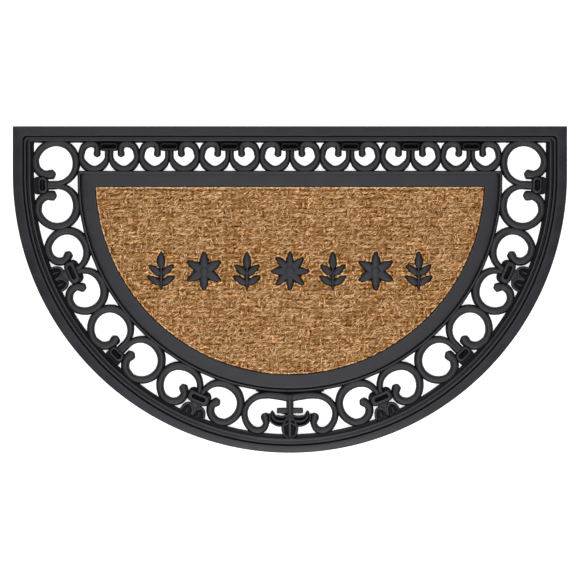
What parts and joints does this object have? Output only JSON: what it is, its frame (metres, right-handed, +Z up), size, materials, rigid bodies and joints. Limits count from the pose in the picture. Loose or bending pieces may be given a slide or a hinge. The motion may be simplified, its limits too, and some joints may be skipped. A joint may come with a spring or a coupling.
{
  "type": "rubber doormat",
  "caption": "Half-round doormat moulded in black rubber with an open scrollwork border and a woven coir panel let into its middle.",
  "frame": {"origin": "on the floor under the middle of the mat's bounding box", "axes": "+X along the straight edge, +Y towards the straight edge, +Z up from the floor"},
  "size_m": [0.75, 0.4418, 0.0099],
  "materials": {
    "rubber": "satin moulded black rubber",
    "coir": "natural golden-brown coir weave"
  },
  "bodies": {
    "root": {"rubber_mat": "rubber", "coir_panel": "coir"}
  },
  "joints": []
}
